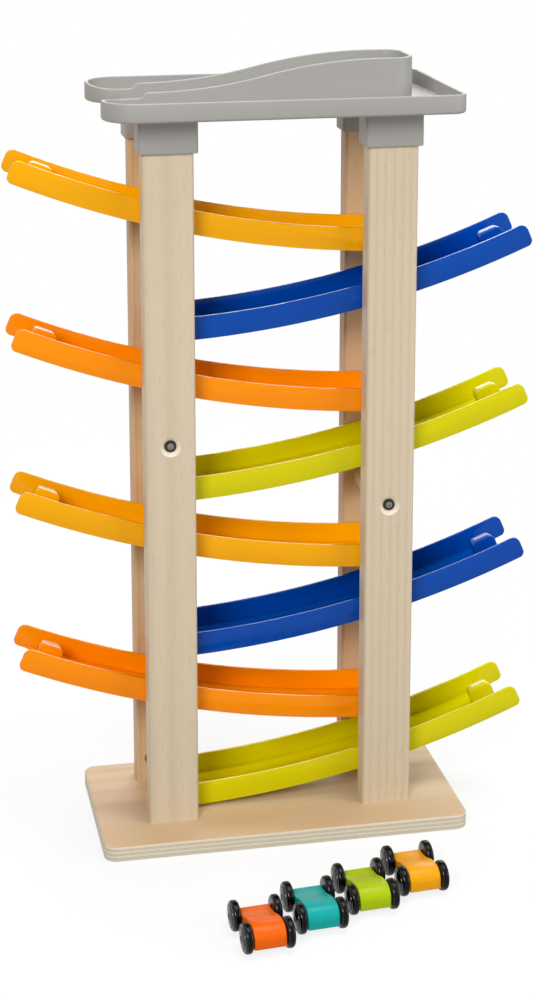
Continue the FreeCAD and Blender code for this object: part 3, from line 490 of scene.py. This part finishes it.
def small_steel(name, colour, roughness, metallic):
    """Turned or drawn steel with fine machining marks."""
    material, tree, shader = new_material(name)
    place = add_node(tree, "TexCoord").outputs["Object"]
    marks = add_node(tree, "Mapping", {}, {"Vector": place, "Scale": TOOL_MARK_SCALE})
    marks = add_node(tree, "TexNoise", {}, {"Vector": marks.outputs[0], "Scale": 1.0, "Detail": 3.0})
    gloss = add_node(tree, "MapRange", {},
                     {"Value": marks.outputs["Fac"], "From Min": 0.3, "From Max": 0.7,
                      "To Min": roughness - ROUGHNESS_SPREAD, "To Max": roughness + ROUGHNESS_SPREAD})
    tree.links.new(gloss.outputs["Result"], shader.inputs["Roughness"])
    tint = add_node(tree, "Mix", {**RGBA, "blend_type": "MULTIPLY"},
                    {SHARE: 0.25, FIRST: linear(colour), SECOND: marks.outputs["Fac"]})
    # Lighter steel within 1.9 mm of a bolt's middle line: a painted reflection in the socket of the bolt
    # head.
    painted_reflection = near_bolts(tree, KEY_SOCKET_MM)
    tint = add_node(tree, "Mix", RGBA, {SHARE: painted_reflection, FIRST: tint.outputs[MIXED], SECOND: linear(PAINTED_REFLECTION_STEEL)})
    tree.links.new(tint.outputs[MIXED], shader.inputs["Base Color"])
    relief = add_node(tree, "Bump", {},
                      {"Strength": 0.2, "Distance": 0.00002, "Height": marks.outputs["Fac"]})
    tree.links.new(relief.outputs[0], shader.inputs["Normal"])
    shader.inputs["Metallic"].default_value = metallic
    return material


black_oxide_steel = small_steel("black_oxide_steel", "#3A3431", roughness=0.42, metallic=0.7)
zinc_plated_steel = small_steel("zinc_plated_steel", "#C4C6C9", roughness=0.3, metallic=1.0)
print("steel:", black_oxide_steel.name, zinc_plated_steel.name)

# %% [markdown]
# ## Painted wood
#
# The car bodies are small beech blocks, rounded, sanded and dipped in satin paint. The paint is thin, so the
# wood's grain still shows as a slight relief, and the colour gets a little lighter and darker along the
# grain.

# %% Paint on beech
CAR_RING_MM = 2.4
CAR_COLOURS = {"orange": ("#EC6600", "#E65E00"), "teal": ("#10A8A4", "#069C98"),
               "lime": ("#ACC400", "#A2B800"), "amber": ("#EDA40C", "#E69A02")}


def painted_beech(name, colour, deep):
    """Satin paint on beech, with the grain along the car."""
    material, tree, shader = new_material(name)
    rings, pores = rings_and_pores(tree, "Y", (30.0, 0.0, 25.0), CAR_RING_MM)
    streak = add_node(tree, "MapRange", {}, {"Value": pores, "From Min": 0.3, "From Max": 0.7})
    tint = add_node(tree, "Mix", RGBA,
                    {SHARE: streak.outputs["Result"], FIRST: linear(colour), SECOND: linear(deep)})
    tree.links.new(tint.outputs[MIXED], shader.inputs["Base Color"])
    gloss = add_node(tree, "MapRange", {}, {"Value": pores, "To Min": 0.30, "To Max": 0.38})
    tree.links.new(gloss.outputs["Result"], shader.inputs["Roughness"])
    height = add_node(tree, "Math", {"operation": "ADD"}, {0: rings, 1: pores})
    relief = add_node(tree, "Bump", {}, {"Strength": 0.1, "Distance": 0.00004, "Height": height.outputs[0]})
    tree.links.new(relief.outputs[0], shader.inputs["Normal"])
    shader.inputs["Specular IOR Level"].default_value = 0.18
    return material


car_paint = {colour: painted_beech("satin_paint_" + colour, light, deep)
             for colour, (light, deep) in CAR_COLOURS.items()}
print("paint:", ", ".join(car_paint))

# %% [markdown]
# ## Pieces that keep their CAD shape
#
# The base, posts, dowels, bolts, nuts, screws and axles already have their full shape, with rounded edges,
# recesses and drives. They only need their finish, so it goes into the material slots they have.

# %% Finishes on the CAD pieces
SIDES = ("left", "right")
ENDS = ("tail", "nose")

finishes = {"base_board": birch_plywood}
for side in SIDES:
    for row, beech in (("front", pale_beech), ("back", beech_with_painted_shade)):
        finishes["post_%s_%s" % (row, side)] = beech
        finishes["base_screws_%s_%s" % (row, side)] = zinc_plated_steel
    finishes["spacer_dowel_" + side] = dowel_beech
    finishes["cross_bolt_" + side] = black_oxide_steel
    finishes["sleeve_nut_" + side] = zinc_plated_steel
for colour in CAR_COLOURS:
    for end in ENDS:
        finishes["car_%s_%s_axle" % (colour, end)] = zinc_plated_steel
for node, finish in finishes.items():
    for material_slot in nodes[node].material_slots:
        material_slot.material = finish
print("CAD pieces dressed:", len(finishes))

# %% [markdown]
# ## Rounded edges
#
# No moulded or sanded piece has a sharp edge, and the light lines along the rails come from their rounding.
# The CAD solids of the tracks, the tray and the car bodies have plain edges there, so each gets a copy for
# the picture: its loose triangles are joined, flat faces are cleared of their inner edges, and a Bevel
# modifier rounds what is left. The copy then stands for the CAD piece.
#
# Two places need more care. On a track only the edges that stick out are rounded, because beside its forked
# tip an inner corner runs into an outer edge, and rounding both folds the surface there. On the tray, the
# rim around the two lobes is low and slopes slightly, so its faces are joined across their slight creases
# before the rounding.

# %% Which faces and which edges
def select_faces(mesh, wanted):
    """Selects the faces of an object that is in object mode by a test on each."""
    for face in mesh.polygons:
        face.select = wanted(face)


def mark_outer_edges(mesh, angle):
    """Gives the bevel weight 1 to each edge that sticks out and turns by more than the angle."""
    sides = {}
    for face in mesh.polygons:
        for edge in face.edge_keys:
            sides.setdefault(edge, []).append(face)
    weights = mesh.attributes.new("bevel_weight_edge", "FLOAT", "EDGE")
    for edge in mesh.edges:
        first, second = sides[edge.key]
        turn = first.normal.angle(second.normal)
        sticks_out = first.normal.dot(second.center - mesh.vertices[edge.vertices[0]].co) < 0
        weights.data[edge.index].value = float(turn > angle and sticks_out)


print("tests for faces and for edges that stick out")

# %% Rounding a copy of a CAD piece
# Corners nearer to each other than this, in metres, become one
SAME_PLACE = 0.000002
FLAT = math.radians(0.5)
SLIGHT_CREASE = math.radians(9)
SHARP = math.radians(32)
SMOOTH = math.radians(34)


def rounded_copy(node, material, body, radius, steps, joined=None, outer_only=False):
    """Replaces a CAD piece by a copy with rounded edges, radius in millimetres. Faces that pass the test in
    joined lose the slight creases between them first, and inner corners can be left as they are."""
    bpy.ops.object.select_all(action="DESELECT")
    piece = bpy.data.objects.new(node + "_rounded", nodes[node].data.copy())
    bpy.context.scene.collection.objects.link(piece)
    bpy.context.view_layer.objects.active = piece
    piece.select_set(True)
    bpy.ops.mesh.customdata_custom_splitnormals_clear()
    bpy.ops.object.mode_set(mode="EDIT")
    bpy.ops.mesh.select_all(action="SELECT")
    bpy.ops.mesh.remove_doubles(threshold=SAME_PLACE)
    bpy.ops.mesh.dissolve_limited(angle_limit=FLAT)
    if joined:
        bpy.ops.mesh.select_mode(type="FACE")
        bpy.ops.mesh.select_all(action="DESELECT")
        bpy.ops.object.mode_set(mode="OBJECT")
        select_faces(piece.data, joined)
        bpy.ops.object.mode_set(mode="EDIT")
        bpy.ops.mesh.dissolve_limited(angle_limit=SLIGHT_CREASE)
    bpy.ops.object.mode_set(mode="OBJECT")
    bevel = piece.modifiers.new("rounding", "BEVEL")
    bevel.width = radius / MM
    bevel.segments = steps
    bevel.limit_method = "ANGLE"
    bevel.angle_limit = SHARP
    bevel.use_clamp_overlap = False
    if outer_only:
        mark_outer_edges(piece.data, SHARP)
        bevel.limit_method = "WEIGHT"
    bpy.ops.object.modifier_apply(modifier=bevel.name)
    bpy.ops.object.shade_smooth_by_angle(angle=SMOOTH)
    piece.data.materials.clear()
    piece.data.materials.append(material)
    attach(piece, body)
    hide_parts(node)
    return piece


print("edges that turn by more than %.0f degrees get rounded" % math.degrees(SHARP))

# %% Tracks
TRACKS = 8
TRACK_ROUNDING = 0.45
TRACK_ORDER = list(TRACK_COLOURS)

for number in range(TRACKS):
    colour = TRACK_ORDER[number % len(TRACK_ORDER)]
    piece = rounded_copy("track_%d" % (number + 1), track_abs[colour], "tower",
                         TRACK_ROUNDING, steps=2, outer_only=True)
print("a track has", len(piece.data.polygons), "faces")

# %% Tray
TRAY_ROUNDING = 0.8
# The lobes take up the tray's left end, and all of their rim's top lies above this height, in metres
LOBE_LENGTH = 0.030
LOBE_RIM_HEIGHT = 0.4815
FACING_UP = 0.98

low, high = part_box("top_tray")


def lobe_rim(face):
    """True for the faces on top of the rim around the two lobes."""
    at_lobes = face.center.x < low.x + LOBE_LENGTH and face.center.z > LOBE_RIM_HEIGHT
    return at_lobes and face.normal.z > FACING_UP


tray = rounded_copy("top_tray", tray_abs, "tower", TRAY_ROUNDING, steps=3, joined=lobe_rim)
print("the tray has", len(tray.data.polygons), "faces")

# %% Car bodies
CAR_ROUNDING = 0.8

for colour in CAR_COLOURS:
    piece = rounded_copy("car_%s_body" % colour, car_paint[colour], "tower",
                         CAR_ROUNDING, steps=3)
print("a car body has", len(piece.data.polygons), "faces")

# %% [markdown]
# ## Wheels
#
# A wheel is glossy black plastic, 18.5 mm across and 6 mm wide, with rounded shoulders, a shallow groove
# behind its rim and a slightly domed face with a small dimple in the middle. It is modelled once, lying
# along X, from a 64-sided cylinder whose end faces are inset and moved step by step, and then copied sixteen
# times. The inner side has a small hub with the hole for the axle.

# %% A cylinder with rounded shoulders
WHEEL_SIDES = 64
RADIUS, INNER, RIM = 9.25, -3.0, 2.0
SHOULDER, SHOULDER_STEPS = 1.8, 6
# The two ends of a rim edge lie at the same X, within so many millimetres
SAME_X = 0.1

bpy.ops.object.select_all(action="DESELECT")
bpy.ops.mesh.primitive_cylinder_add(vertices=WHEEL_SIDES, radius=RADIUS / MM, depth=(RIM - INNER) / MM,
                                    location=((RIM + INNER) / 2 / MM, 0, 0), rotation=(0, math.pi / 2, 0))
wheel = bpy.context.object
wheel.name = "wheel_pattern"
bpy.ops.object.transform_apply(location=True, rotation=True, scale=True)
bpy.ops.object.mode_set(mode="EDIT")
bpy.ops.mesh.select_mode(type="EDGE")
bpy.ops.mesh.select_all(action="DESELECT")
bpy.ops.object.mode_set(mode="OBJECT")
for edge in wheel.data.edges:
    first, second = [wheel.data.vertices[number].co for number in edge.vertices]
    edge.select = abs(first.x - second.x) < SAME_X / MM
bpy.ops.object.mode_set(mode="EDIT")
bpy.ops.mesh.bevel(offset=SHOULDER / MM, segments=SHOULDER_STEPS, affect="EDGES")
bpy.ops.object.mode_set(mode="OBJECT")
print("rounded cylinder faces:", len(wheel.data.polygons))

# %% Groove, dome, dimple and hub
# Each step insets an end face by its first number and moves it out by its second, in millimetres
OUTER_STEPS = [(0.35, 0.0), (0.2, -0.3), (0.45, 0.0), (0.2, 0.5), (1.3, 0.36), (1.5, 0.26), (1.1, 0.12),
               (0.25, 0.04), (0.35, -0.3), (0.8, -0.12)]
INNER_STEPS = [(4.35, 0.0), (0.1, 0.25), (1.93, 0.0), (0.02, -4.0)]
FACING_OUT = 0.999
SMOOTH_WHEEL = math.radians(40)

bpy.ops.object.mode_set(mode="EDIT")
bpy.ops.mesh.select_mode(type="FACE")
for direction, steps in ((1, OUTER_STEPS), (-1, INNER_STEPS)):
    bpy.ops.mesh.select_all(action="DESELECT")
    bpy.ops.object.mode_set(mode="OBJECT")
    select_faces(wheel.data, lambda face: direction * face.normal.x > FACING_OUT)
    bpy.ops.object.mode_set(mode="EDIT")
    for thickness, depth in steps:
        bpy.ops.mesh.inset(thickness=thickness / MM, depth=depth / MM)
bpy.ops.object.mode_set(mode="OBJECT")
bpy.ops.object.shade_smooth_by_angle(angle=SMOOTH_WHEEL)
print("wheel faces:", len(wheel.data.polygons))

# %% Gloss and tread
TREAD_RADIUS = 9.2

wheel.data.materials.append(wheel_abs)
wheel.data.materials.append(tread_abs)
for face in wheel.data.polygons:
    face.material_index = int(math.hypot(face.center.y, face.center.z) > TREAD_RADIUS / MM)
print("tread faces:", sum(face.material_index for face in wheel.data.polygons))

# %% Sixteen wheels
# The hub makes a wheel's box reach 0.25 mm further in, so the wheel's middle lies half of that further out
HUB_SHIFT = 0.125

wheel_count = 0
for colour in CAR_COLOURS:
    for end in ENDS:
        low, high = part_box("car_%s_%s_axle" % (colour, end))
        middle = (low + high) / 2
        for side in SIDES:
            node = "car_%s_%s_%s_wheel" % (colour, end, side)
            low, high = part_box(node)
            centre = (low + high) / 2
            outward = (centre - middle).normalized()
            centre += outward * HUB_SHIFT / MM
            piece = bpy.data.objects.new(node + "_moulded", wheel.data.copy())
            bpy.context.scene.collection.objects.link(piece)
            turn = outward.to_track_quat("X", "Z").to_matrix().to_4x4()
            piece.data.transform(Matrix.Translation(centre) @ turn)
            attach(piece, "car_%s_%s_wheels" % (colour, end))
            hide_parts(node)
            wheel_count += 1
bpy.data.objects.remove(wheel)
print("wheels:", wheel_count)
